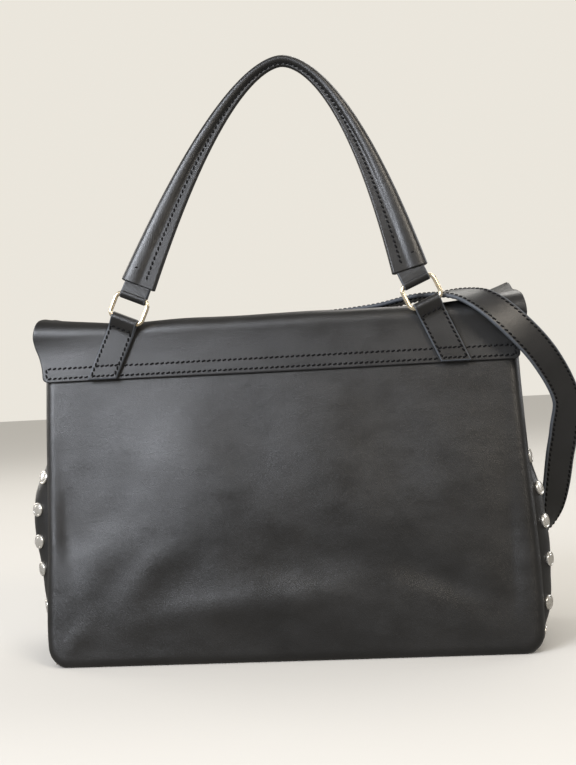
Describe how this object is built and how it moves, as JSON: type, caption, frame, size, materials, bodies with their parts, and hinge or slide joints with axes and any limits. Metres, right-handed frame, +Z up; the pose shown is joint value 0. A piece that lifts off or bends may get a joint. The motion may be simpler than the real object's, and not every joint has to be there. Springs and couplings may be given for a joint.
{
  "type": "satchel bag",
  "caption": "Structured leather satchel with a full flap, a rolled handle on rings at the back, swelling riveted gussets and a flat shoulder strap lying over the flap.",
  "frame": {"origin": "middle of the underside, where the bag stands", "axes": "+X across the width towards the bag's left gusset as seen from behind, -Y out of the front, +Z up"},
  "size_m": [0.4513, 0.15, 0.4831],
  "materials": {
    "leather": "smooth black, satin",
    "strap_leather": "smooth black, satin",
    "lining": "dark grey-brown cotton twill",
    "board": "fibre stiffener",
    "metal": "pale gold plate, polished",
    "rivet_metal": "pale nickel-gold, polished"
  },
  "bodies": {
    "bag": {"back_panel": "leather", "front_panel": "leather", "gusset_left": "leather", "gusset_right": "leather", "base_panel": "leather", "base_board": "board", "lining": "lining", "pocket_panel": "lining", "zip_tape": "lining", "zip_teeth": "metal", "flap_seam_band": "leather", "lock_plate": "metal", "lock_backing": "metal", "gusset_rivets_left": "rivet_metal", "gusset_rivets_right": "rivet_metal", "handle_tab_left": "leather", "handle_tab_right": "leather", "strap_tab_left": "strap_leather", "strap_tab_right": "strap_leather", "tab_rivets_left": "rivet_metal", "tab_rivets_right": "rivet_metal", "shoulder_strap": "strap_leather"},
    "flap": {"flap_top": "leather", "flap_top_lining": "lining"},
    "flap_drop": {"flap_front": "leather", "flap_front_lining": "lining", "lock_eyelet": "metal", "eyelet_rivets": "rivet_metal"},
    "handle": {"ring_loop_left": "leather", "ring_loop_right": "leather", "handle_ring_left": "metal", "handle_ring_right": "metal", "handle_chape_left": "leather", "handle_chape_right": "leather", "handle_cover": "leather", "handle_core": "board"},
    "lock_knob": {"lock_knob": "metal"},
    "strap_ring_left": {"strap_ring_left": "metal", "strap_end_left": "strap_leather", "strap_rivet_left": "rivet_metal"},
    "strap_ring_right": {"strap_ring_right": "metal", "strap_end_right": "strap_leather", "strap_rivet_right": "rivet_metal"},
    "zip_slider": {"zip_slider": "metal", "zip_pull": "metal"}
  },
  "joints": [
    {"name": "flap_open", "type": "hinge", "parent": "bag", "child": "flap", "pos_m": [0, 0.05123, 0.272], "axis": [-1, 0, 0], "range_deg": [0, 75], "deforming": ["shoulder_strap"]},
    {"name": "flap_fold", "type": "hinge", "parent": "flap", "child": "flap_drop", "pos_m": [0, -0.05302, 0.272], "axis": [-1, 0, 0], "range_deg": [0, 80]},
    {"name": "handle_swing", "type": "hinge", "parent": "bag", "child": "handle", "pos_m": [0, 0.0552, 0.26452], "axis": [-1, 0, 0], "range_deg": [0, 95]},
    {"name": "lock_turn", "type": "hinge", "parent": "bag", "child": "lock_knob", "pos_m": [0, -0.06932, 0.12805], "axis": [0, 0.9953, -0.0964], "range_deg": [0, 90]},
    {"name": "strap_ring_left_swing", "type": "hinge", "parent": "bag", "child": "strap_ring_left", "pos_m": [0.1983, 0, 0.04], "axis": [0, 1, 0], "range_deg": [0, 45]},
    {"name": "strap_ring_right_swing", "type": "hinge", "parent": "bag", "child": "strap_ring_right", "pos_m": [-0.1983, 0, 0.04], "axis": [0, -1, 0], "range_deg": [0, 45]},
    {"name": "zip_slide", "type": "slide", "parent": "bag", "child": "zip_slider", "axis": [1, 0, 0], "range_m": [0, 0.16]}
  ],
  "couplings": [
    {"joint": "flap_fold", "follows": "flap_open", "ratio": 1.05}
  ]
}
